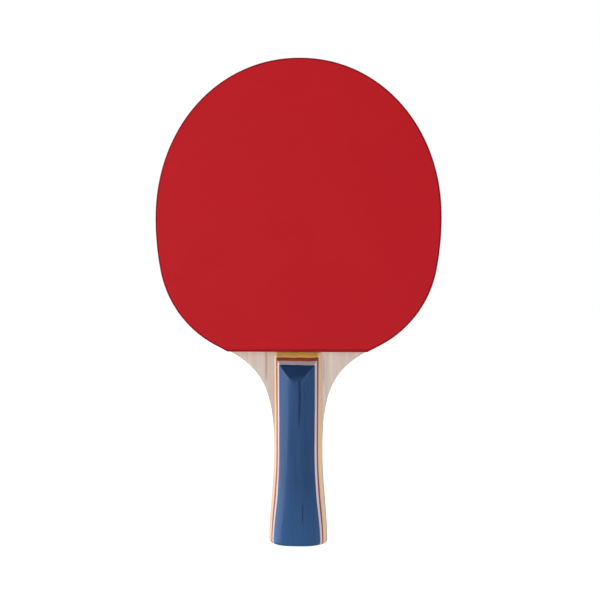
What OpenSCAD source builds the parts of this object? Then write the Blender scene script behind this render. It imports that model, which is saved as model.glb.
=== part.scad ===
// Table tennis paddle: a five-ply wooden blade, a flared handle glued up from
// four flat layers a side, and an inverted rubber on each face of the head.
//
// Z runs from the butt end up to the tip of the head and X across the head.
// The red face looks along -Y and the black face along +Y. The origin is the
// middle of the butt end, halfway through the blade.

/* [Head] */
// Overall length, from the butt end to the tip
total_l = 254; // [248:0.5:262]
// Width of the rubber sheets at their widest
head_w = 150; // [144:0.5:156]
// Height of the rubber sheets, from their cut edge to the tip
rubber_h = 153.5; // [150:0.5:157]
// Height of the tip above the widest line
crest_h = 83.4; // [80:0.2:87]
// Fullness of the outline above the widest line, where 2 is an ellipse
crest_power = 2.05; // [2:0.05:2.3]
// Radius of the long arcs at the sides, below the widest line
side_r = 144; // [135:1:155]
// Angle that a side arc turns through before the lower corner starts
side_turn = 11; // [9:0.5:13]
// Radius of the two lower corners of the head
corner_r = 56.5; // [54:0.5:58]
// Angle from the vertical at which the outline leaves the corner for the neck
neck_turn = 63.5; // [61:0.5:66]

/* [Blade] */
// Thickness of the light wooden core
core_t = 3.6; // [2.8:0.1:4.4]
// Thickness of each cross ply beside the core
inner_ply_t = 0.6; // [0.4:0.1:1]
// Thickness of each outer ply
face_ply_t = 0.6; // [0.4:0.1:1]

/* [Handle] */
// Width of the blade at the waist of the grip
waist_w = 25.6; // [24:0.2:28]
// Height of the waist above the butt end
waist_z = 51; // [46:0.5:56]
// Width of the blade at the butt end, before its corners are rounded
butt_w = 30.8; // [29:0.2:34]
// Radius of the corners at the butt end, seen from the front
butt_r = 2; // [1:0.2:3]
// Width that a handle scale reaches at its upper end
scale_top_w = 24.9; // [24:0.1:27]
// How far the blade's rounded edge stands out beyond a scale
edge_ease = 0.6; // [0.4:0.1:1]
// Height of a scale off the blade at the waist and above
scale_t = 8.6; // [8:0.1:9.4]
// Extra height of a scale at the butt end
butt_rise = 0.4; // [0:0.1:1]
// Angle between the sloping upper end of a scale and the blade
bevel_angle = 28.8; // [25:0.2:34]
// Height of the blunt step at the foot of that slope
bevel_step = 0.5; // [0.2:0.1:0.8]
// Thickness of the plain wooden base of a scale
base_t = 1.9; // [1.6:0.1:2.2]
// Thickness of the red veneer
red_t = 1; // [0.8:0.1:1.2]
// Thickness of the white veneer
white_t = 1.1; // [0.8:0.1:1.3]

/* [Rubber] */
// Thickness of the glue film between blade and sponge
film_t = 0.1; // [0.1:0.05:0.2]
// Thickness of the sponge
sponge_t = 1.8; // [1:0.1:2.2]
// Thickness of a top sheet, together with the pimples on its underside
topsheet_t = 1.8; // [1.5:0.1:1.9]
// How far the rubbers stand out beyond the blade
overhang = 0.35; // [0.3:0.05:0.6]
// Thickness of the tape on the edge of the head
tape_t = 0.25; // [0.15:0.05:0.3]

/* [Hidden] */
blade_t = core_t + 2*(inner_ply_t + face_ply_t);
widest_z = total_l - crest_h;     // the widest line of the head
cut_z = total_l - rubber_h;       // the straight lower edge of the rubbers
scale_top_z = cut_z - 0.3;        // the scales stop just short of the rubbers
end_round = 0.8;                  // how far the crown is rounded off at the butt
red_edge = base_t + red_t;        // heights off the blade where layers meet
white_edge = red_edge + white_t;

flare_z = waist_z - 3;            // the grip widens from here to the butt end
square_z = 26;                    // and a scale's section gets squarer from here
waist_power = 2.25;               // how full that section is, waist and up
butt_power = 3.2;                 // and at the butt, where 2 is a parabola
neck_pull = [0.44, 0.64];         // handles of the neck curve, over its height

crest_steps = 30;
side_steps = 5;
corner_steps = 18;
neck_steps = 22;
flare_steps = 12;
round_steps = 4;
section_steps = 22;
margin = 1;                       // cutting blocks reach this far past the part

tan_wood = "#b1863e";
red_wood = "#84341b";
white_wood = "#d9c8cf";
blue_wood = "#375780";
ply_wood = "#d2beaf";
cross_ply_wood = "#b98f63";
core_wood = "#dcc7a4";
glue_amber = "#d8c48a";
sponge_cream = "#e0c9a0";
rubber_red = "#b92128";
rubber_black = "#1c1c1e";
tape_black = "#26262a";

// ---- Outline of the blade and the rubbers, in the plane of the head ----

function smooth(t) = t*t*(3 - 2*t);
function rounded_by(z, r) = z >= r ? 0 : r - sqrt(r*r - (r - z)*(r - z));
function shape_share(z, from_z) = smooth(1 - min(z, from_z)/from_z);
function flare(z) = shape_share(z, flare_z);

// The right half of the head, from the tip down to the start of the neck.
// With grow it is the outline that far outside the rubbers' own.
function crest_arc(grow) = [
    for (i = [0 : crest_steps]) let (t = 90*(1 - i/crest_steps)) [
        (head_w/2 + grow)*pow(cos(t), 2/crest_power),
        widest_z + (crest_h + grow)*pow(sin(t), 2/crest_power)]];

function arc(centre, r, from, to, steps) = [
    for (i = [1 : steps]) let (t = from + (to - from)*i/steps)
        centre + r*[cos(t), -sin(t)]];

side_centre = [head_w/2 - side_r, widest_z];
corner_centre = side_centre + (side_r - corner_r)*[cos(side_turn), -sin(side_turn)];

// The neck is one curve, from the corner's end to a vertical line at the waist.
function neck_curve(grow) =
    let (
        start = corner_centre + (corner_r + grow)*[cos(neck_turn), -sin(neck_turn)],
        end = [waist_w/2, waist_z],
        height = start.y - end.y,
        start_pull = start - neck_pull[0]*height*[sin(neck_turn), cos(neck_turn)],
        end_pull = end + [0, neck_pull[1]*height])
    [for (i = [1 : neck_steps]) let (t = i/neck_steps, u = 1 - t)
        u*u*u*start + 3*u*u*t*start_pull + 3*u*t*t*end_pull + t*t*t*end];

function grip_half(z) =
    waist_w/2 + (butt_w - waist_w)/2*flare(z) - rounded_by(z, butt_r);

// Heights of the sections of the grip, from the butt end up to the waist.
grip_stations = concat(
    [for (i = [0 : round_steps]) butt_r*(1 - cos(90*i/round_steps))],
    [for (i = [1 : flare_steps]) butt_r + (waist_z - butt_r)*i/flare_steps]);

function half_outline(grow) = concat(
    crest_arc(grow),
    arc(side_centre, side_r + grow, 0, side_turn, side_steps),
    arc(corner_centre, corner_r + grow, side_turn, neck_turn, corner_steps),
    neck_curve(grow),
    [for (i = [len(grip_stations) - 2 : -1 : 0])
        [grip_half(grip_stations[i]), grip_stations[i]]]);

module outline(grow) {
    right = half_outline(grow);
    left = [for (i = [len(right) - 1 : -1 : 1]) [-right[i].x, right[i].y]];
    polygon(concat(right, left));
}

// A flat sheet with the blade's outline, from y0 to y1.
module sheet(y0, y1, grow) {
    translate([0, y1, 0]) rotate([90, 0, 0])
        linear_extrude(y1 - y0) outline(grow);
}

// Everything above the cut edge of the rubbers.
module above_cut() {
    translate([-head_w, -head_w, cut_z]) cube(2*head_w);
}

module head_sheet(y0, y1, grow) {
    intersection() {
        sheet(y0, y1, grow);
        above_cut();
    }
}

// Pieces are drawn on the back, along +Y, and mirrored to the front.
module at_back() { children(); }
module at_front() { mirror([0, 1, 0]) children(); }

// ---- Blade ----

module blade_core() {
    color(core_wood) sheet(-core_t/2, core_t/2, -overhang);
}

module inner_ply() {
    color(cross_ply_wood)
        sheet(core_t/2, core_t/2 + inner_ply_t, -overhang);
}

module face_ply() {
    color(ply_wood)
        sheet(blade_t/2 - face_ply_t, blade_t/2, -overhang);
}

module edge_tape() {
    color(tape_black) difference() {
        head_sheet(-blade_t/2, blade_t/2, tape_t - overhang);
        sheet(-blade_t/2 - margin, blade_t/2 + margin, -overhang);
    }
}

// ---- Handle scales ----

function scale_half(z) = z <= waist_z
    ? grip_half(z) - edge_ease
    : waist_w/2 - edge_ease + (scale_top_w - waist_w + 2*edge_ease)/2
        *(z - waist_z)/(scale_top_z - waist_z);

function scale_height(z) = scale_t + butt_rise*flare(z) - rounded_by(z, end_round);
function scale_power(z) =
    waist_power + (butt_power - waist_power)*shape_share(z, square_z);

scale_stations = concat(grip_stations, [scale_top_z]);

// One section of a scale: a high arch over a flat base on the blade.
function scale_section(z) = [
    for (i = [0 : section_steps]) let (f = -cos(180*i/section_steps)) [
        f*scale_half(z),
        blade_t/2 + scale_height(z)*(1 - pow(abs(f), scale_power(z))),
        z]];

// A whole scale before its upper end is cut to the slope.
module scale_body() {
    n = section_steps + 1;
    last = len(scale_stations) - 1;
    points = [for (z = scale_stations) each scale_section(z)];
    skin = [for (s = [0 : last - 1], i = [0 : n - 1]) let (j = (i + 1)%n)
        [s*n + i, (s + 1)*n + i, (s + 1)*n + j, s*n + j]];
    butt_end = [for (i = [0 : n - 1]) i];
    top_end = [for (i = [n - 1 : -1 : 0]) last*n + i];
    polyhedron(points, concat(skin, [butt_end, top_end]), convexity = 4);
}

// The block that cuts the upper end to its slope. Its underside is the slope,
// which starts at the top of the blunt step and falls away from the blade.
module bevel_cut() {
    translate([-butt_w, blade_t/2 + bevel_step, scale_top_z])
        rotate([bevel_angle - 90, 0, 0])
            translate([0, -total_l, 0]) cube([2*butt_w, 2*total_l, butt_w]);
}

// The flat layer of a scale between two heights off the blade.
module scale_layer(low, high) {
    intersection() {
        difference() {
            scale_body();
            bevel_cut();
        }
        translate([-butt_w, blade_t/2 + low, -margin])
            cube([2*butt_w, high - low, total_l]);
    }
}

module scale_base() { color(tan_wood) scale_layer(0, base_t); }
module red_veneer() { color(red_wood) scale_layer(base_t, red_edge); }
module white_veneer() { color(white_wood) scale_layer(red_edge, white_edge); }
module crown() {
    color(blue_wood) scale_layer(white_edge, scale_t + butt_rise + margin);
}

// ---- Rubbers ----

film_y = blade_t/2;
sponge_y = film_y + film_t;
topsheet_y = sponge_y + sponge_t;

module glue_film() {
    color(glue_amber) head_sheet(film_y, sponge_y, -overhang);
}

module sponge() {
    color(sponge_cream) head_sheet(sponge_y, topsheet_y, 0);
}

module topsheet(colour) {
    color(colour) head_sheet(topsheet_y, topsheet_y + topsheet_t, 0);
}

blade_core();
at_front() inner_ply();  // inner_ply_front
at_back() inner_ply();  // inner_ply_back
at_front() face_ply();  // face_ply_front
at_back() face_ply();  // face_ply_back
edge_tape();
at_front() scale_base();  // scale_base_front
at_back() scale_base();  // scale_base_back
at_front() red_veneer();  // red_veneer_front
at_back() red_veneer();  // red_veneer_back
at_front() white_veneer();  // white_veneer_front
at_back() white_veneer();  // white_veneer_back
at_front() crown();  // crown_front
at_back() crown();  // crown_back
at_front() glue_film();  // glue_film_front
at_back() glue_film();  // glue_film_back
at_front() sponge();  // sponge_front
at_back() sponge();  // sponge_back
at_front() topsheet(rubber_red);  // topsheet_front
at_back() topsheet(rubber_black);  // topsheet_back
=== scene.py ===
"""The looks of the table tennis paddle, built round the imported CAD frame.

Every CAD node is stood for by a finer mesh of the same size: plies with eased edges,
handle layers with a hand-sanded slope, rubbers with rounded rims. Fields of pimples are
added under the top sheets.
Lengths are in metres, and MM turns the sizes given in millimetres into them.
"""

import math
from itertools import product

import bpy
import numpy as np
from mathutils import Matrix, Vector, noise


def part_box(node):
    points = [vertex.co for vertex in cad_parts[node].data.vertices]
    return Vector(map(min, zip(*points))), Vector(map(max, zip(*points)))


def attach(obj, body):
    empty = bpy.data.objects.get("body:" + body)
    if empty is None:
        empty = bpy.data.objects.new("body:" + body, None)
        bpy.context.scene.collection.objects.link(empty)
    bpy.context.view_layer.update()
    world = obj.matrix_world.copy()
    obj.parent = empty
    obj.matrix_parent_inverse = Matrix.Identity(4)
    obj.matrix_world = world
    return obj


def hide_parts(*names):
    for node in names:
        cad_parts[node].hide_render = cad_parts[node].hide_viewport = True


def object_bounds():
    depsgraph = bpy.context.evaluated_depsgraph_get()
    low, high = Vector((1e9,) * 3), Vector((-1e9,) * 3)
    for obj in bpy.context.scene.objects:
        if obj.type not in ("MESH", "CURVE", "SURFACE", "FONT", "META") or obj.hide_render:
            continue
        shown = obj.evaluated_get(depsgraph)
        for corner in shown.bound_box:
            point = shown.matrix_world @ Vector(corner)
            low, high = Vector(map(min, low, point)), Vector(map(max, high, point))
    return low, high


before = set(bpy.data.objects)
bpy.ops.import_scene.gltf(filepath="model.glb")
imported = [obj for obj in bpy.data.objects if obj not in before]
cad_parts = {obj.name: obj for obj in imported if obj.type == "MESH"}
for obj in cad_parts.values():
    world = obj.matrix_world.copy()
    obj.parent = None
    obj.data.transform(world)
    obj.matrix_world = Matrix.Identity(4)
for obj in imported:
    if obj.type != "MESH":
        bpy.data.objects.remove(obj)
cad_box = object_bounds()

MM = 0.001
FRONT, BACK = -1, 1
SIDES = {"front": FRONT, "back": BACK}

# Driving sizes of the handle, the same as in the CAD model.
WAIST_Z = 51 * MM            # height of the waist above the butt end
WAIST_W = 25.6 * MM          # widths of the blade there and at the butt
BUTT_W = 30.8 * MM
BUTT_R = 2 * MM              # radius of the butt's corners, seen from the front
SCALE_TOP_W = 24.9 * MM      # width of a handle scale at its upper end
EDGE_EASE = 0.6 * MM         # how far the blade stands out beyond a scale
SCALE_T = 8.6 * MM           # height of a scale off the blade
BUTT_RISE = 0.4 * MM         # and how much higher it is at the butt
END_ROUND = 0.8 * MM         # how far the crown is rounded off there
FLARE_Z = WAIST_Z - 3 * MM   # the grip widens from here down
SQUARE_Z = 26 * MM           # and a scale's section gets squarer from here down
WAIST_POWER, BUTT_POWER = 2.25, 3.2
BEVEL_ANGLE = math.radians(28.8)  # slope of a scale's upper end
BEVEL_STEP = 0.5 * MM        # the blunt step at the foot of that slope

# Sizes that the frame gives.
BLADE_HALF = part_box("face_ply_back")[1].y
CUT_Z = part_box("sponge_back")[0].z
SCALE_TOP_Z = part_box("scale_base_back")[1].z
CROWN_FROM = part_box("white_veneer_back")[1].y - BLADE_HALF

# Sizes of the finish, which only the visual model has.
BEVEL_ROUND = 0.3 * MM       # rounding of the scale's edges round its sloping end
RIDGE_BLEND = 1.1 * MM       # how softly the slope runs into the middle of the crown
RIDGE_FADE = (2, 1.2)        # how fast that softness fades to the left and to the right
SLOPE_SAG = 1.1 * MM         # how much longer the slope gets by flattening at its foot
SAG_POWER = 4                # and how much of that is kept for its very end
SLOPE_FOOT = 84 * MM         # where that foot is, above the butt
ARCH_POWER = 1.8             # how pointed the crown's arch is there
SANDING = 0.4 * MM           # how uneven the sanded slope is
SANDING_WAVES = 170          # how many waves that has in a metre
SANDING_SEED = {FRONT: 3.7, BACK: 9.1}
FACET_FROM = 0.47            # where the crown's side facets start, over its half width
FACET = 0.78                 # how flat they are
FACET_Z = 25 * MM            # the height above the butt where they begin
FACET_RISE = 50 * MM         # and over which they get that flat
SIDE_SHARE = 0.92            # outside this share of its half width, a base layer isn't cut
SIDE_GROWTH = 0.09           # and how much greater the share is at the layer's upper face
BUTT_GRAIN_AND_SHADE = 0.7 * MM         # how far up the butt's rounding gets the darker cut wood: end grain, with painted shade
NECK_EASE = 0.35 * MM        # easing of the blade's bare edges beside the grip
NECK_EDGE_POWER = 6          # how tight that easing is
GRIP_EDGE_POWER = 2.2        # and how tight the grip's is, which is nearly an arc
CUT_COVER = 1.5 * MM         # the easing ends this far under the rubbers
CUT_FADE = 2 * MM            # and fades over this height
RIM_ROUND = 0.45 * MM        # how deep a top sheet's outer rim is rounded
RIM_REACH = 0.85 * MM        # and how far in from its side
RIM_BORDER = 1.6 * RIM_REACH  # where its plain face starts
RIM_STEPS = 5
SPONGE_RAG = 0.12 * MM       # how ragged the knife left the sponge
RAG_WAVES = 700              # and how many waves that has in a metre
PIMPLE_H = 0.8 * MM
PIMPLE_PITCH = 2.1 * MM
PIMPLE_R_TOP, PIMPLE_R_FOOT = 0.7 * MM, 0.85 * MM
PIMPLE_BAND = 9 * MM         # pimples further in than this can never be seen
PIMPLE_CUT = 0.3             # share of its radius by which a pimple's middle may be outside
PIMPLE_SIDES = 10
PIMPLE_SINK = 0.05 * MM      # how far a pimple reaches up into the sheet
PIMPLE_CLEAR = 0.02 * MM     # how far a cut pimple stays inside the rim


# ---------------------------------------------------------------- small helpers

SHARP_ANGLE = math.radians(36)   # an edge that turns more than this is shaded as hard
HARD_TURN = math.radians(25)     # an outline that turns more than this has a corner
STEP_RATIO = 2.5                 # and so has one whose steps change by more than this


def smooth(t):
    """A soft step, from 0 at t = 0 to 1 at t = 1."""
    t = min(1.0, max(0.0, t))
    return t * t * (3 - 2 * t)


def rounded_by(distance, r):
    """How far a quarter-round edge of radius r has pulled the surface in."""
    if distance >= r:
        return 0.0
    reach = r - max(distance, 0.0)
    return r - math.sqrt(r * r - reach * reach)


def add_object(name, verts, faces, material_index=None):
    """A mesh object with smooth faces and sharp edges where the surface turns hard."""
    mesh = bpy.data.meshes.new(name)
    mesh.from_pydata(verts, [], faces)
    if material_index is not None:
        mesh.polygons.foreach_set("material_index", material_index)
    mesh.polygons.foreach_set("use_smooth", [True] * len(faces))
    mesh.update()
    mesh.set_sharp_from_angle(angle=SHARP_ANGLE)
    obj = bpy.data.objects.new(name, mesh)
    bpy.context.scene.collection.objects.link(obj)
    return obj


def stand_for(obj, node, *materials):
    """Puts obj in the place of a CAD node: gives it these materials, hangs it on the root and
    hides the node.
    """
    for material in materials:
        obj.data.materials.append(material)
    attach(obj, "root")
    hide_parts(node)


# ---------------------------------------------------------------- outlines

def outline_of(node):
    """The rim of a flat CAD sheet as an anticlockwise loop of (x, z)."""
    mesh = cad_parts[node].data
    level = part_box(node)[1].y
    off_level = 0.001 * MM
    digits = 7  # of a metre, enough to tell neighbouring corners apart
    follows = {}
    for face in mesh.polygons:
        corners = [mesh.vertices[i].co for i in face.vertices]
        if any(abs(c.y - level) > off_level for c in corners):
            continue
        keys = [(round(c.x, digits), round(c.z, digits)) for c in corners]
        for a, b in zip(keys, keys[1:] + keys[:1]):
            if follows.get(b) and a in follows[b]:
                follows[b].remove(a)  # an edge between two triangles of the face
            else:
                follows.setdefault(a, set()).add(b)
    start = max((a for a in follows if follows[a]), key=lambda p: p[1])
    loop, here = [], start
    while True:
        loop.append(Vector(here))
        here = next(iter(follows[here]))
        if here == start:
            break
    area = sum(a.x * b.y - b.x * a.y for a, b in zip(loop, loop[1:] + loop[:1]))
    return loop if area > 0 else loop[::-1]


def is_corner(before, here, after):
    """True where a loop turns hard, or goes from a short step to a long one."""
    a, b = here - before, after - here
    ratio = a.length / b.length
    return a.angle(b) > HARD_TURN or not 1 / STEP_RATIO < ratio < STEP_RATIO


def refine(loop):
    """Adds a point in each step of a loop, on a smooth curve between its corners."""
    n = len(loop)
    corner = [is_corner(loop[i - 1], loop[i], loop[(i + 1) % n]) for i in range(n)]
    finer = []
    for i in range(n):
        j = (i + 1) % n
        b, c = loop[i], loop[j]
        a = 2 * b - c if corner[i] else loop[i - 1]
        d = 2 * c - b if corner[j] else loop[(j + 1) % n]
        finer += [b, (9 * (b + c) - (a + d)) / 16]  # a cubic through all four, halfway
    return finer


def outward(loop):
    """The outward direction at each point of an anticlockwise loop, longer at corners."""
    least = 0.5  # so it is never more than twice as long
    n = len(loop)
    result = []
    for i in range(n):
        a = (loop[i] - loop[i - 1]).normalized()
        b = (loop[(i + 1) % n] - loop[i]).normalized()
        middle = Vector((a.y + b.y, -a.x - b.x)).normalized()
        result.append(middle / max(least, middle.dot(Vector((b.y, -b.x)))))
    return result


def inset(loop, amount):
    """A loop pulled in by the same amount all round."""
    return [p - amount * out for p, out in zip(loop, outward(loop))]


def stacked(name, levels, wall_material=0):
    """A closed sheet from a stack of (y, loop), where every loop has the same count."""
    count = len(levels[0][1])
    verts = [(p.x, y, p.y) for y, loop in levels for p in loop]
    faces, kinds = [], []
    for k in range(len(levels) - 1):
        flat = levels[k][0] == levels[k + 1][0]
        for i in range(count):
            j = (i + 1) % count
            low, high = k * count, (k + 1) * count
            faces.append((low + i, low + j, high + j, high + i))
            kinds.append(0 if flat else wall_material)
    last = (len(levels) - 1) * count
    faces.append(tuple(range(count))[::-1])
    faces.append(tuple(last + i for i in range(count)))
    rising = levels[-1][0] > levels[0][0]
    if rising:
        faces = [f[::-1] for f in faces]
    return add_object(name, verts, faces, kinds + [0, 0])


# ---------------------------------------------------------------- blade

def blade_inset(z, y):
    """How far the blade's sanded edge is pulled in, at a height and a depth."""
    share = abs(y) / BLADE_HALF
    grip = EDGE_EASE * share**GRIP_EDGE_POWER
    neck = NECK_EASE * share**NECK_EDGE_POWER
    half_neck = (CUT_Z - WAIST_Z) / 2
    up = smooth((z - WAIST_Z) / half_neck)
    under_rubber = smooth((z - CUT_Z + CUT_COVER) / CUT_FADE)
    return ((1 - up) * grip + up * neck) * (1 - under_rubber)


def ply_loop(loop, y):
    """A ply's outline at a depth: pulled in sideways on the grip, squarely above it."""
    result = []
    for p, out in zip(loop, outward(loop)):
        amount = blade_inset(p.y, y)
        if p.y < WAIST_Z:
            result.append(p - Vector((math.copysign(min(amount, abs(p.x)), p.x), 0)))
        else:
            result.append(p - amount * out)
    return result


def make_ply(node, material, steps):
    """One ply of the blade, with as many steps through its thickness as its edge needs."""
    low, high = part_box(node)
    loop = refine(outline_of(node))
    depths = [low.y + (high.y - low.y) * k / steps for k in range(steps + 1)]
    obj = stacked(node + "_mesh", [(y, ply_loop(loop, y)) for y in depths])
    stand_for(obj, node, material)


def make_tape(material):
    """The band round the head's wooden edge, with its ends at the rubbers' cut edge."""
    low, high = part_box("edge_tape")
    thickness = high.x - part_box("blade_core")[1].x
    edge = refine(outline_of("blade_core"))
    run = [(p, out) for p, out in zip(edge, outward(edge)) if p.y > CUT_Z]
    start = max(range(len(run)), key=lambda i: (run[i][0] - run[i - 1][0]).length)
    run = run[start:] + run[:start]
    # its section, over the blade's half thickness and over its own
    section = [(-1, 0), (-1, 0.6), (-0.9, 1), (0.9, 1), (1, 0.6), (1, 0)]
    verts = []
    for p, out in run:
        for across, up in section:
            q = p + out * thickness * up
            verts.append((q.x, across * BLADE_HALF, q.y))
    n = len(section)
    faces = []
    for k in range(len(run) - 1):
        for i in range(n):
            j = (i + 1) % n
            faces.append((k * n + i, k * n + j, (k + 1) * n + j, (k + 1) * n + i))
    last = (len(run) - 1) * n
    faces.append(tuple(range(n))[::-1])
    faces.append(tuple(last + i for i in range(n)))
    obj = add_object("edge_tape_mesh", verts, faces)
    stand_for(obj, "edge_tape", material)


# ---------------------------------------------------------------- handle

def flare(z):
    """How far the grip has widened, from 0 just under the waist to 1 at the butt."""
    return smooth(1 - z / FLARE_Z)


def scale_half(z):
    """Half the width of a scale's foot on the blade."""
    if z <= WAIST_Z:
        half = WAIST_W / 2 + (BUTT_W - WAIST_W) / 2 * flare(z)
        return half - rounded_by(z, BUTT_R) - EDGE_EASE
    waist_half = WAIST_W / 2 - EDGE_EASE
    return waist_half + (SCALE_TOP_W / 2 - waist_half) * (z - WAIST_Z) / (SCALE_TOP_Z - WAIST_Z)


def scale_height(z):
    """How high a scale stands off the blade in its middle."""
    return SCALE_T + BUTT_RISE * flare(z) - rounded_by(z, END_ROUND)


def scale_power(z):
    """How square a scale's section is, where 2 is a parabola."""
    return WAIST_POWER + (BUTT_POWER - WAIST_POWER) * smooth(1 - z / SQUARE_Z)


def sanding(x, z, seed):
    """How far the hand-sanded slope strays from its plane, along the handle."""
    return noise.noise((x * SANDING_WAVES, z * SANDING_WAVES, seed)) * SANDING


def slope_z(x, h, seed):
    """The height of a scale's sloping end above the butt, at a point of its section."""
    fall = max(h - BEVEL_STEP, 0) / math.tan(BEVEL_ANGLE)
    sag = SLOPE_SAG * (max(h - CROWN_FROM, 0) / (SCALE_T - CROWN_FROM)) ** SAG_POWER
    level = SCALE_TOP_Z - fall - sag
    return level + sanding(x, level, seed) * min(1, h / BEVEL_STEP)


def slope_height(x, z, seed):
    """The height of the same slope off the blade, at a point of the blade."""
    low, high = 0.0, 2 * SCALE_T
    close_enough = 0.001 * MM
    while high - low > close_enough:
        middle = (low + high) / 2
        if slope_z(x, middle, seed) > z:
            low = middle
        else:
            high = middle
    return low


def arch_power(z):
    """How square the crown's arch is, which gets more pointed up to the slope."""
    up = smooth((z - WAIST_Z) / (SLOPE_FOOT - WAIST_Z))
    return scale_power(z) + (ARCH_POWER - WAIST_POWER) * up


def crown_height(u, z, eased, low):
    """The arch of the crown, where u runs across it. Its sides are a little flat."""
    tall = scale_height(z) - eased
    power = arch_power(z)
    reach = max(0.0, 1 - low / tall) ** (1 / power)
    height = tall * (1 - abs(u * reach) ** power)
    if abs(u) > FACET_FROM:
        ridge = tall * (1 - (FACET_FROM * reach) ** power)
        chord = ridge + (low - ridge) * (abs(u) - FACET_FROM) / (1 - FACET_FROM)
        height += FACET * smooth((z - FACET_Z) / FACET_RISE) * (chord - height)
    return height


def layer_point(u, v, z, eased, low, high):
    """The (x, h) of a layer's section. u runs across it and v from its lower face up."""
    half = scale_half(z) - eased
    tall = scale_height(z) - eased
    h = low if high is None else low + v * (high - low)
    x = u * half * max(0.0, 1 - h / tall) ** (1 / scale_power(z))
    if high is None:  # the crown, whose upper side is the arch itself
        h = low + v * (crown_height(u, z, eased, low) - low)
    return x, h


def ridge_softened(u, x, h, z, low, seed):
    """The crown's height off the blade, with its ridge rubbed soft in the middle."""
    arch = crown_height(u, z, 0, low)
    slope = slope_height(x, z, seed)
    left, right = RIDGE_FADE
    blend = RIDGE_BLEND * (1 - u * u) ** (left if u < 0 else right)
    overlap = max(blend - abs(arch - slope), 0)
    if overlap <= 0:
        return h
    return max(low, min(h, min(arch, slope) - overlap * overlap / (4 * blend)))


BUTT_STATIONS, MIDDLE_STATIONS, SLOPE_STATIONS = 6, 44, 5
MIDDLE_CROWDING = 1.7   # how much closer the middle's stations get towards the slope
HALF_ACROSS = (8, 9)    # stations across the inner and outer part of a layer's half width


def station_heights():
    """Shares of the butt's rounding, of the length, and of the slope's rounding."""
    quarter = math.pi / 2
    butt = [("butt", 1 - math.cos(quarter * k / BUTT_STATIONS)) for k in range(BUTT_STATIONS)]
    middle = [("middle", 1 - (1 - k / MIDDLE_STATIONS) ** MIDDLE_CROWDING)
              for k in range(MIDDLE_STATIONS)]
    slope = [("slope", math.cos(quarter * k / SLOPE_STATIONS))
             for k in range(SLOPE_STATIONS + 1)]
    return butt + middle + slope


def layer_station(kind, share, top):
    """The z of a station in a column that ends at top, and how far it is rounded off."""
    if kind == "butt":
        return BUTT_R * share, 0.0
    if kind == "middle":
        return BUTT_R + (top - BEVEL_ROUND - BUTT_R) * share, 0.0
    back = BEVEL_ROUND * share
    return top - back, rounded_by(back, BEVEL_ROUND)


def stations_across():
    """Places across a layer, close together at its edges and on the facets' borders."""
    inside, outside = HALF_ACROSS
    inner = [FACET_FROM * k / inside for k in range(inside + 1)]
    span = 1 - FACET_FROM
    outer = [FACET_FROM + span * math.sin(math.pi / 2 * k / outside)
             for k in range(1, outside + 1)]
    right = inner + outer
    return [-u for u in right[:0:-1]] + right


def stations_up(low, high):
    """Shares of a layer's thickness, where the base layer has one at the blunt step."""
    if high is None:  # the crown, whose stations get closer towards its top
        return [1 - (1 - k / 12) ** 1.5 for k in range(13)]
    if low < BEVEL_STEP:
        return [0, BEVEL_STEP / high, 0.6, 1]
    return [0, 0.34, 0.67, 1]


def block_faces(size):
    """Each face on a block of cells: its axis, its place there, its corners and its turn.

    The turn is true where the corners have to be taken in reverse for an outward face.
    """
    for axis in range(3):
        a, b = [other for other in range(3) if other != axis]
        for end in (0, size[axis]):
            for p, q in product(range(size[a]), range(size[b])):
                corners = []
                for dp, dq in ((0, 0), (1, 0), (1, 1), (0, 1)):
                    ijk = [0, 0, 0]
                    ijk[axis], ijk[a], ijk[b] = end, p + dp, q + dq
                    corners.append(tuple(ijk))
                yield axis, p, q, corners, (end == 0) == (axis != 1)


def make_layer(node, side, low, high, side_wood, cut_wood):
    """One flat layer of a handle scale, as the six sides of a bent block.

    It reaches from low to high off the blade. The crown has no high, and ends in its arch.
    """
    across = stations_across()
    up = stations_up(low, high)
    stations = station_heights()
    seed = SANDING_SEED[side]

    def place(i, j, k):
        u, v = across[i], up[j]
        end_x, end_h = layer_point(u, v, SCALE_TOP_Z, BEVEL_ROUND, low, high)
        top = slope_z(end_x, end_h, seed)
        z, eased = layer_station(*stations[k], top)
        x, h = layer_point(u, v, z, eased, low, high)
        if high is None and v > 0:
            h = ridge_softened(u, x, h, z, low, seed)
        return x, side * (BLADE_HALF + h), z

    size = (len(across) - 1, len(up) - 1, len(stations) - 1)
    index, verts, faces, kinds = {}, [], [], []

    def vertex(ijk):
        point = tuple(round(c, 8) for c in place(*ijk))
        if point not in index:
            index[point] = len(verts)
            verts.append(point)
        return index[point]

    for axis, p, q, corners, turned in block_faces(size):
        corners = [vertex(ijk) for ijk in corners]
        if turned != (side == FRONT):
            corners.reverse()
        ring = [c for n, c in enumerate(corners) if c != corners[n - 1]]
        if len(ring) < 3:  # the block has no thickness here
            continue
        # the butt's underside and lowest rounding get the darker cut wood: end grain, and
        # painted shade along its lower edge
        cut = max(verts[c][2] for c in ring) < BUTT_GRAIN_AND_SHADE
        if axis == 2:  # the butt and the slope, where a base layer shows its side outermost
            furthest = max(abs(across[p]), abs(across[p + 1]))
            limit = SIDE_SHARE + SIDE_GROWTH * up[q]
            cut = cut or low > 0 or furthest <= limit
        faces.append(ring)
        kinds.append(1 if cut else 0)
    obj = add_object(node + "_mesh", verts, faces, kinds)
    stand_for(obj, node, side_wood, cut_wood)


# ---------------------------------------------------------------- rubbers

def ragged(loop, side):
    """A loop as a knife leaves it in sponge, a little inside its line."""
    return [p - out * SPONGE_RAG * abs(noise.noise((p.x * RAG_WAVES, p.y * RAG_WAVES, side)))
            for p, out in zip(loop, outward(loop))]


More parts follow.
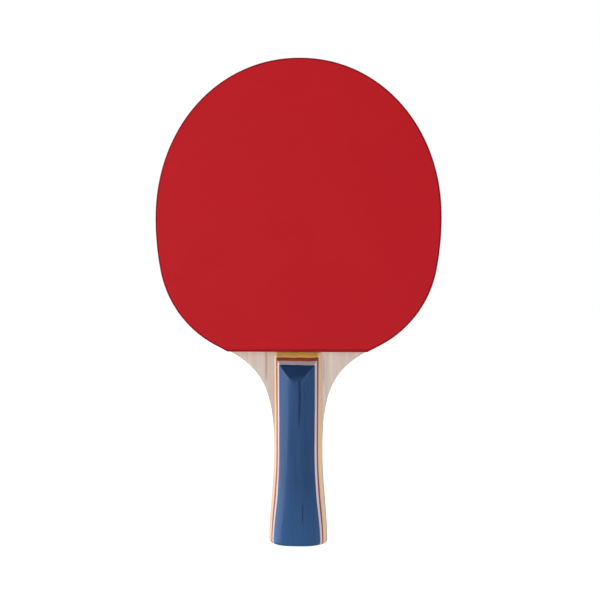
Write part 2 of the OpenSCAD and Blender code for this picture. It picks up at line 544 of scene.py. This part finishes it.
def make_sheet(node, side, inner, outer, materials, rounded=False, rough_cut=False):
    """A flat sheet from inner to outer off the mid-plane. Its outer rim may be rounded."""
    loop = refine(outline_of(node))
    if rough_cut:
        loop = ragged(loop, side)
    levels = [(side * inner, loop)]
    if rounded:
        for k in range(RIM_STEPS + 1):
            turn = math.pi / 2 * k / RIM_STEPS
            depth = outer - RIM_ROUND * (1 - math.sin(turn))
            levels.append((side * depth, inset(loop, RIM_REACH * (1 - math.cos(turn)))))
        # a narrow flat border keeps the shading of the face even
        levels.append((side * outer, inset(loop, RIM_BORDER)))
    else:
        levels.append((side * outer, loop))
    obj = stacked(node + "_mesh", levels, len(materials) - 1)
    stand_for(obj, node, *materials)
    return loop


class Rim:
    """A loop that can say how far inside it a point is, and bring points back inside."""

    def __init__(self, loop):
        self.start = np.array([tuple(p) for p in loop])
        self.step = np.roll(self.start, -1, axis=0) - self.start
        self.length = np.linalg.norm(self.step, axis=1)
        self.out = np.stack((self.step[:, 1], -self.step[:, 0]), 1) / self.length[:, None]

    def inside(self, point):
        """The distance in from the rim, and the rim's outward direction there."""
        gap = np.asarray(point) - self.start
        share = np.clip((gap * self.step).sum(axis=1) / self.length**2, 0, 1)
        gap = gap - share[:, None] * self.step
        k = int(np.argmin((gap**2).sum(axis=1)))
        return -float(gap[k] @ self.out[k]), self.out[k]


def make_pimples(name, side, loop, foot, material):
    """The pimples under a top sheet, near the rim. The rim's knife cuts through some."""
    rim = Rim(loop)
    low, high = rim.start.min(axis=0), rim.start.max(axis=0)
    row_step = PIMPLE_PITCH * math.sqrt(3) / 2
    verts, faces = [], []
    for row in range(int((high[1] - low[1]) / row_step) + 1):
        z = low[1] + row * row_step
        shift = PIMPLE_PITCH / 2 * (row % 2)
        for column in range(int((high[0] - low[0]) / PIMPLE_PITCH) + 2):
            x = low[0] + shift + column * PIMPLE_PITCH
            if -PIMPLE_CUT * PIMPLE_R_FOOT < rim.inside((x, z))[0] < PIMPLE_BAND:
                add_pimple(verts, faces, x, z, side, foot, rim)
    obj = add_object(name, verts, faces)
    obj.data.materials.append(material)
    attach(obj, "root")


def add_pimple(verts, faces, x, z, side, foot, rim):
    """One short cone from the sponge up into the sheet, kept inside the rim."""
    first = len(verts)
    for height, radius in ((0, PIMPLE_R_TOP), (PIMPLE_H + PIMPLE_SINK, PIMPLE_R_FOOT)):
        for k in range(PIMPLE_SIDES):
            turn = 2 * math.pi * k / PIMPLE_SIDES
            p = np.array((x + radius * math.cos(turn), z + radius * math.sin(turn)))
            inside, out = rim.inside(p)
            if inside < 0:
                p = p + out * (inside - PIMPLE_CLEAR)
            verts.append((p[0], side * (foot + height), p[1]))
    n = PIMPLE_SIDES
    for k in range(n):
        j = (k + 1) % n
        face = (first + k, first + j, first + n + j, first + n + k)
        faces.append(face if side == FRONT else face[::-1])
    ends = (tuple(first + k for k in range(n)), tuple(first + n + k for k in range(n)))
    faces.append(ends[0][::-1] if side == FRONT else ends[0])
    faces.append(ends[1] if side == FRONT else ends[1][::-1])


# ---------------------------------------------------------------- materials

ALONG_Z = (1, 1, 0.035)        # a pattern's scale in x, y and z, drawn out along the grain
ALONG_X = (0.035, 1, 1)
TONES = 150                    # broad changes of tone in a metre of wood
VEIN_SHARE = 0.55              # how close veins are, against fibres
BUTT_PAINTED_LIGHT = (34 * MM, 4 * MM)   # painted light towards the butt starts and is complete this high
STREAK_WANDER = 2 * MM           # how far a long dark streak strays sideways, all in all
STREAK_WAVES = 45                # and how often in a metre
FOOT_LEAN = (-0.15, 0, 1)      # the slope's foot is a little higher on the left
FOOT_LIGHT_FADE = (-0.5 * MM, 4.5 * MM)  # its paler colour, partly painted light, fades out over these heights
NO_TINT = (1, 1, 1, 1)
BLUE_TINT = (0.25, 0.5, 1, 1)  # of the highlights on dyed wood, which take its colour


def srgb(red, green, blue):
    """A colour given as 0 to 255, as linear RGBA."""
    def linear(c):
        c /= 255
        return c / 12.92 if c <= 0.04045 else ((c + 0.055) / 1.055) ** 2.4
    return (*[linear(c) for c in (red, green, blue)], 1)


class Finish:
    """A material being built: a Principled shader with pattern nodes behind it."""

    def __init__(self, name, roughness, specular=0.5, coat=0.0, coat_roughness=0.1,
                 tint=NO_TINT):
        self.material = bpy.data.materials.new(name)
        self.material.use_nodes = True
        self.tree = self.material.node_tree
        self.shader = self.tree.nodes["Principled BSDF"]
        self.shader.inputs["Roughness"].default_value = roughness
        self.shader.inputs["Specular IOR Level"].default_value = specular
        self.shader.inputs["Specular Tint"].default_value = tint
        self.shader.inputs["Coat Weight"].default_value = coat
        self.shader.inputs["Coat Roughness"].default_value = coat_roughness
        self.where = self.tree.nodes.new("ShaderNodeTexCoord").outputs["Object"]

    def link(self, source, target):
        """Leads an output socket into an input socket."""
        self.tree.links.new(source, target)

    def stretched(self, per_metre, shift=(0, 0, 0)):
        """Object coordinates, scaled so that a pattern's size suits each direction."""
        node = self.tree.nodes.new("ShaderNodeMapping")
        node.inputs["Scale"].default_value = per_metre
        node.inputs["Location"].default_value = shift
        self.link(self.where, node.inputs["Vector"])
        return node.outputs["Vector"]

    def noise(self, per_metre, detail=3.0, shift=(0, 0, 0), warp=0.0):
        """A cloudy value, about half on average, with so many waves in a metre."""
        node = self.tree.nodes.new("ShaderNodeTexNoise")
        node.inputs["Scale"].default_value = 1
        node.inputs["Detail"].default_value = detail
        node.inputs["Distortion"].default_value = warp
        self.link(self.stretched(per_metre, shift), node.inputs["Vector"])
        return node.outputs["Fac"]

    def along(self, direction):
        """How far a point lies along a direction, in metres."""
        node = self.tree.nodes.new("ShaderNodeVectorMath")
        node.operation = "DOT_PRODUCT"
        node.inputs[1].default_value = direction
        self.link(self.where, node.inputs[0])
        return node.outputs["Value"]

    def calc(self, operation, a, b=0.0):
        """One step of arithmetic on two values, each a socket or a number."""
        node = self.tree.nodes.new("ShaderNodeMath")
        node.operation = operation
        for socket, value in zip(node.inputs, (a, b)):
            if isinstance(value, (int, float)):
                socket.default_value = value
            else:
                self.link(value, socket)
        return node.outputs["Value"]

    def cells(self, per_metre):
        """The distance to the nearest of scattered points, which gives round pits."""
        node = self.tree.nodes.new("ShaderNodeTexVoronoi")
        node.inputs["Scale"].default_value = 1
        self.link(self.stretched(per_metre), node.inputs["Vector"])
        return node.outputs["Distance"]

    def between(self, value, low, high):
        """A value clipped to a range and spread over 0 to 1."""
        node = self.tree.nodes.new("ShaderNodeMapRange")
        node.inputs["From Min"].default_value = low
        node.inputs["From Max"].default_value = high
        self.link(value, node.inputs["Value"])
        return node.outputs["Result"]

    def mixed(self, share, a, b):
        """A blend of two colours, each a socket or an RGBA value."""
        node = self.tree.nodes.new("ShaderNodeMix")
        node.data_type = "RGBA"
        for name, colour in (("A", a), ("B", b)):
            socket = [s for s in node.inputs if s.name == name and s.type == "RGBA"][0]
            if isinstance(colour, tuple):
                socket.default_value = colour
            else:
                self.link(colour, socket)
        self.link(share, node.inputs["Factor"])
        return [s for s in node.outputs if s.type == "RGBA"][0]

    def colour(self, socket):
        """Gives the surface the colour of a socket."""
        self.link(socket, self.shader.inputs["Base Color"])

    def rough(self, value, low, high):
        """Makes the surface's roughness follow a value, from low to high."""
        node = self.tree.nodes.new("ShaderNodeMapRange")
        node.inputs["To Min"].default_value = low
        node.inputs["To Max"].default_value = high
        self.link(value, node.inputs["Value"])
        self.link(node.outputs["Result"], self.shader.inputs["Roughness"])

    def bump(self, value, height, strength=1.0):
        """Makes fine relief of this height out of a value."""
        node = self.tree.nodes.new("ShaderNodeBump")
        node.inputs["Distance"].default_value = height
        node.inputs["Strength"].default_value = strength
        self.link(value, node.inputs["Height"])
        self.link(node.outputs["Normal"], self.shader.inputs["Normal"])


def grain(per_metre, along):
    """A pattern's scale in each direction of the wood."""
    return tuple(per_metre * a for a in along)


def wood(name, pale, deep, vein, along=ALONG_Z, roughness=0.42, specular=0.4, coat=0.0,
         tint=NO_TINT, fibre=900, veins=(0.60, 0.72), seed=0, pores=(), butt=None):
    """Wood with broad tone changes, fibres along one direction and dark veins.

    There are so many fibres in a metre. A vein gets dark where its noise goes from the first
    to the second of veins. Each of pores is a given dark streak, for open pores and for
    painted shade beside the scales, and butt is a paler colour painted towards the butt as
    light.
    """
    f = Finish(name, roughness, specular, coat, coat_roughness=0.2, tint=tint)
    broad = f.between(f.noise(grain(TONES, along), 2, (seed, 0, 0), 0.6), 0.3, 0.7)
    fibres = f.between(f.noise(grain(fibre, along), 4, (0, seed, 0)), 0.3, 0.72)
    vein_noise = f.noise(grain(fibre * VEIN_SHARE, along), 2, (0, 0, seed))
    tone = f.mixed(broad, pale, deep)
    fine = f.mixed(fibres, tone, deep)
    if butt:  # painted light: the butt end is made a little paler, for the light that the flared grip catches there
        fine = f.mixed(f.between(f.along((0, 0, 1)), *BUTT_PAINTED_LIGHT), fine, butt)
    veined = f.mixed(f.between(vein_noise, *veins), fine, vein)
    # dark streaks: open pores in the blue wood, painted shade beside the scales on the face
    # plies
    for pore in pores:
        veined = f.mixed(pore_and_shade_streak(f, *pore), veined, vein)
    f.colour(veined)
    f.rough(fibres, roughness - 0.06, roughness + 0.08)
    f.bump(fibres, 0.02 * MM, 0.6)
    return f.material


def pore_and_shade_streak(f, x, half_width, z, reach, strength):
    """One long dark streak in the front of the wood, which wanders a little and fades.

    In the blue wood it is an open pore, in the face plies painted shade beside a scale.
    Its middle is at x and z, and it goes as far as reach above and below that.
    """
    wander = f.calc("MULTIPLY", f.noise((1, 1, STREAK_WAVES), 1), STREAK_WANDER)
    strayed = f.calc("SUBTRACT", f.along((1, 0, 0)), wander)
    off = f.calc("SUBTRACT", strayed, x - STREAK_WANDER / 2)
    line = f.between(f.calc("ABSOLUTE", off), half_width, 0.3 * half_width)
    away = f.calc("ABSOLUTE", f.calc("SUBTRACT", f.along((0, 0, 1)), z))
    fading = f.between(away, reach, 0.5 * reach)
    front = f.between(f.along((0, 1, 0)), 0, -1 * MM)
    length = f.calc("MULTIPLY", f.calc("MULTIPLY", fading, front), strength)
    return f.calc("MULTIPLY", line, length)


def end_wood(name, pale, deep, roughness=0.5, tint=NO_TINT, foot=None):
    """The same wood where it is cut across and sanded, which takes in more varnish."""
    f = Finish(name, roughness, specular=0.3, tint=tint)
    blotches = f.between(f.noise((220, 220, 220), 3, warp=0.5), 0.3, 0.7)
    pores = f.between(f.noise((2600, 2600, 900), 2), 0.35, 0.65)
    tone = f.mixed(pores, f.mixed(blotches, pale, deep), deep)
    if foot:  # paler where the slope runs out: partly the cut nearly along the wood, partly painted light for the foot turning to the front
        start, end = (SLOPE_FOOT + fade for fade in FOOT_LIGHT_FADE)
        tone = f.mixed(f.between(f.along(FOOT_LEAN), start, end), foot, tone)
    f.colour(tone)
    f.rough(pores, roughness - 0.08, roughness + 0.1)
    f.bump(pores, 0.015 * MM, 0.6)
    return f.material


def rubber(name, base, rubbed, roughness, specular):
    """Smooth top-sheet rubber: an even colour, with a faint bloom and fine grain."""
    f = Finish(name, roughness, specular=specular)
    bloom = f.between(f.noise((28, 28, 28), 3, warp=0.4), 0.35, 0.7)
    f.colour(f.mixed(bloom, base, rubbed))
    f.rough(bloom, roughness - 0.03, roughness + 0.05)
    f.bump(f.noise((2200, 2200, 2200), 2), 0.006 * MM, 0.5)
    return f.material


def sponge(name, pale, deep):
    """Fine-celled sponge, which shows only along its cut edge."""
    f = Finish(name, 0.85, specular=0.2)
    pits = f.between(f.cells((3200, 3200, 3200)), 0.15, 0.6)
    patches = f.noise((500, 500, 500), 2)
    f.colour(f.mixed(pits, f.mixed(patches, pale, deep), pale))
    f.bump(pits, 0.12 * MM, 0.9)
    return f.material


def tape(name, dark, worn):
    """Plain plastic tape, scuffed in places."""
    f = Finish(name, 0.45, specular=0.4)
    scuffs = f.between(f.noise((300, 900, 300), 4, warp=0.8), 0.55, 0.75)
    f.colour(f.mixed(scuffs, dark, worn))
    f.rough(scuffs, 0.4, 0.6)
    f.bump(f.noise((1500, 6000, 1500), 2), 0.01 * MM, 0.5)
    return f.material


def glue(name, clear, amber):
    """Dried latex, cloudy where it is thicker."""
    f = Finish(name, 0.35)
    f.colour(f.mixed(f.noise((400, 400, 400), 2), clear, amber))
    return f.material


CORE_WOOD = wood("core wood", srgb(228, 208, 176), srgb(208, 185, 150), srgb(190, 165, 130))
CROSS_WOOD = wood("cross ply wood", srgb(198, 164, 124), srgb(172, 136, 96),
                  srgb(130, 96, 64), along=ALONG_X, seed=4)
FACE_WOOD = wood("face ply wood", srgb(221, 206, 196), srgb(200, 180, 168),
                 srgb(172, 146, 132), fibre=700, veins=(0.62, 0.8), seed=3,
                 # these two streaks are painted shade on the blade right beside the scales
                 pores=((-16.6 * MM, 0.9 * MM, 94 * MM, 10 * MM, 0.8),
                        (13.6 * MM, 0.8 * MM, 91 * MM, 9 * MM, 0.5)))
TAN_WOOD = wood("tan wood", srgb(234, 206, 176), srgb(216, 178, 142),
                srgb(176, 128, 88), seed=2)
RED_WOOD = wood("red wood", srgb(160, 84, 66), srgb(132, 60, 46), srgb(96, 38, 28), seed=5)
WHITE_WOOD = wood("white wood", srgb(226, 208, 212), srgb(206, 184, 190),
                  srgb(176, 150, 156), seed=8)
BLUE_WOOD = wood("blue wood", srgb(45, 79, 122), srgb(36, 67, 107), srgb(14, 34, 68),
                 roughness=0.3, specular=0.5, coat=0.35, tint=BLUE_TINT, fibre=800,
                 # butt: a paler blue painted towards the butt, as light on the flared grip
                 veins=(0.66, 0.74), seed=11, butt=srgb(45, 82, 127),
                 pores=((1.6 * MM, 0.8 * MM, 80 * MM, 21 * MM, 0.8),
                        (3.4 * MM, 0.6 * MM, 17 * MM, 6 * MM, 0.6)))
TAN_END = end_wood("cut tan wood", srgb(210, 168, 88), srgb(188, 144, 68))
RED_END = end_wood("cut red wood", srgb(160, 66, 40), srgb(130, 46, 26))
WHITE_END = end_wood("cut white wood", srgb(172, 154, 158), srgb(153, 138, 143))
BLUE_END = end_wood("cut blue wood", srgb(30, 56, 93), srgb(26, 46, 80),
                    # foot: a paler blue at the slope's foot, partly painted light where it
                    # turns to the front
                    tint=BLUE_TINT, foot=srgb(41, 74, 110))
RED_RUBBER = rubber("red rubber", srgb(180, 21, 31), srgb(176, 20, 29), 0.46, 0.12)
# a darker red drawn on the top sheet's rounded rim and side all round, and on its pimples
RED_DARK_RIM = rubber("dark red rubber rim", srgb(140, 15, 26), srgb(132, 13, 23), 0.8, 0.05)
BLACK_RUBBER = rubber("black rubber", srgb(30, 30, 32), srgb(35, 35, 37), 0.46, 0.35)
BLACK_CUT = rubber("cut black rubber", srgb(24, 24, 26), srgb(28, 28, 30), 0.7, 0.2)
SPONGE = sponge("sponge", srgb(226, 204, 164), srgb(204, 178, 134))
EDGE_TAPE = tape("edge tape", srgb(30, 30, 34), srgb(62, 62, 66))
GLUE = glue("glue", srgb(216, 196, 140), srgb(196, 172, 110))


# ---------------------------------------------------------------- the pieces

def layer_edges():
    """Where the layers of a scale meet, as heights off the blade."""
    return [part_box(node + "_back")[1].y - BLADE_HALF
            for node in ("scale_base", "red_veneer", "white_veneer")]


def make_handle():
    """Both scales, each of four layers."""
    base, red, white = layer_edges()
    layers = (("scale_base", 0.0, base, TAN_WOOD, TAN_END),
              ("red_veneer", base, red, RED_WOOD, RED_END),
              ("white_veneer", red, white, WHITE_WOOD, WHITE_END),
              ("crown", white, None, BLUE_WOOD, BLUE_END))
    for name, side in SIDES.items():
        for node, low, high, side_wood, cut_wood in layers:
            make_layer(f"{node}_{name}", side, low, high, side_wood, cut_wood)


def make_blade():
    """The five plies and the tape round them."""
    make_ply("blade_core", CORE_WOOD, 10)
    for name in SIDES:
        make_ply(f"inner_ply_{name}", CROSS_WOOD, 3)
        make_ply(f"face_ply_{name}", FACE_WOOD, 4)
    make_tape(EDGE_TAPE)


def make_rubbers():
    """Glue, sponge, pimples and top sheet on both faces of the head."""
    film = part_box("glue_film_back")
    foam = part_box("sponge_back")
    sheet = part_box("topsheet_back")
    underside = sheet[0].y + PIMPLE_H
    for name, side in SIDES.items():
        skin = (RED_RUBBER, RED_DARK_RIM) if side == FRONT else (BLACK_RUBBER, BLACK_CUT)
        make_sheet(f"glue_film_{name}", side, film[0].y, film[1].y, [GLUE])
        make_sheet(f"sponge_{name}", side, foam[0].y, foam[1].y, [SPONGE], rough_cut=True)
        rim = make_sheet(f"topsheet_{name}", side, underside, sheet[1].y, skin, rounded=True)
        make_pimples(f"pimples_{name}", side, rim, sheet[0].y, skin[1])


# ---------------------------------------------------------------- camera and light

# Soft panels: azimuth and elevation in degrees, distance and size in metres, power in watts.
PANELS = {
    "key": (-105, 8, 2.4, (4.7, 2.8), 63),
    "fill": (122, 10, 3.0, (3.2, 3.2), 34),
    "front left": (-50, 16, 0.9, (0.6, 0.6), 2.8),
    "front right": (38, 16, 1.4, (0.7, 0.7), 1.2),
}
PANEL_AIM = Vector((0, 0, 0.13))
DOME_COLOUR = (0.96, 0.98, 1, 1)
DOME_STRENGTH = 0.32
FLOOR_GLOW = 0.78


def make_camera():
    """A level view from a little to the right of the paddle's front."""
    azimuth = math.radians(5.6)
    distance, eye_z = 0.70, 0.1276
    aim_right = 0.9 * MM  # so the paddle is this far left of the view's middle
    right = Vector((math.cos(azimuth), math.sin(azimuth), 0))
    back = Vector((math.sin(azimuth), -math.cos(azimuth), 0))
    data = bpy.data.cameras.new("camera")
    data.sensor_width, data.lens = 36, 79.8
    camera = bpy.data.objects.new("camera", data)
    camera.location = back * distance + right * aim_right + Vector((0, 0, eye_z))
    camera.rotation_euler = (-back).to_track_quat("-Z", "Y").to_euler()
    bpy.context.scene.collection.objects.link(camera)
    bpy.context.scene.camera = camera


def make_panel(name, azimuth, elevation, distance, size, power):
    """A soft rectangular light that faces the paddle's middle."""
    a, e = math.radians(azimuth), math.radians(elevation)
    away = Vector((math.sin(a) * math.cos(e), -math.cos(a) * math.cos(e), math.sin(e)))
    data = bpy.data.lights.new(name, "AREA")
    data.shape = "RECTANGLE"
    data.size, data.size_y = size
    data.energy = power
    light = bpy.data.objects.new(name, data)
    light.location = PANEL_AIM + away * distance
    light.rotation_euler = (-away).to_track_quat("-Z", "Y").to_euler()
    bpy.context.scene.collection.objects.link(light)


def make_world():
    """A white surround to look at, with a dimmer dome that lights the paddle."""
    world = bpy.data.worlds.new("surround")
    bpy.context.scene.world = world
    world.use_nodes = True
    tree = world.node_tree
    tree.nodes.clear()
    path = tree.nodes.new("ShaderNodeLightPath")
    seen = tree.nodes.new("ShaderNodeBackground")
    seen.inputs["Color"].default_value = (1, 1, 1, 1)
    dome = tree.nodes.new("ShaderNodeBackground")
    dome.inputs["Color"].default_value = DOME_COLOUR
    dome.inputs["Strength"].default_value = DOME_STRENGTH
    mix = tree.nodes.new("ShaderNodeMixShader")
    out = tree.nodes.new("ShaderNodeOutputWorld")
    tree.links.new(path.outputs["Is Camera Ray"], mix.inputs["Fac"])
    tree.links.new(dome.outputs["Background"], mix.inputs[1])
    tree.links.new(seen.outputs["Background"], mix.inputs[2])
    tree.links.new(mix.outputs["Shader"], out.inputs["Surface"])


def make_floor():
    """A plain white floor, bright enough to run into the surround without an edge."""
    half = 12  # metres, so that its edge is never in view
    verts = [(-half, -half, 0), (half, -half, 0), (half, half, 0), (-half, half, 0)]
    floor = add_object("floor", verts, [(0, 1, 2, 3)])
    floor.location.z = cad_box[0].z - 0.1 * MM  # the butt end doesn't quite touch it
    floor.visible_glossy = False  # a shiny surface shows the dim dome in its place
    material = bpy.data.materials.new("floor")
    material.use_nodes = True
    shader = material.node_tree.nodes["Principled BSDF"]
    shader.inputs["Base Color"].default_value = (0.8, 0.8, 0.8, 1)
    shader.inputs["Roughness"].default_value = 1
    shader.inputs["Specular IOR Level"].default_value = 0
    shader.inputs["Emission Color"].default_value = (1, 1, 1, 1)
    shader.inputs["Emission Strength"].default_value = FLOOR_GLOW
    floor.data.materials.append(material)


make_camera()
make_world()
make_floor()
for panel_name, settings in PANELS.items():
    make_panel(panel_name, *settings)
make_blade()
make_handle()
make_rubbers()
bpy.context.scene.view_settings.view_transform = "Standard"
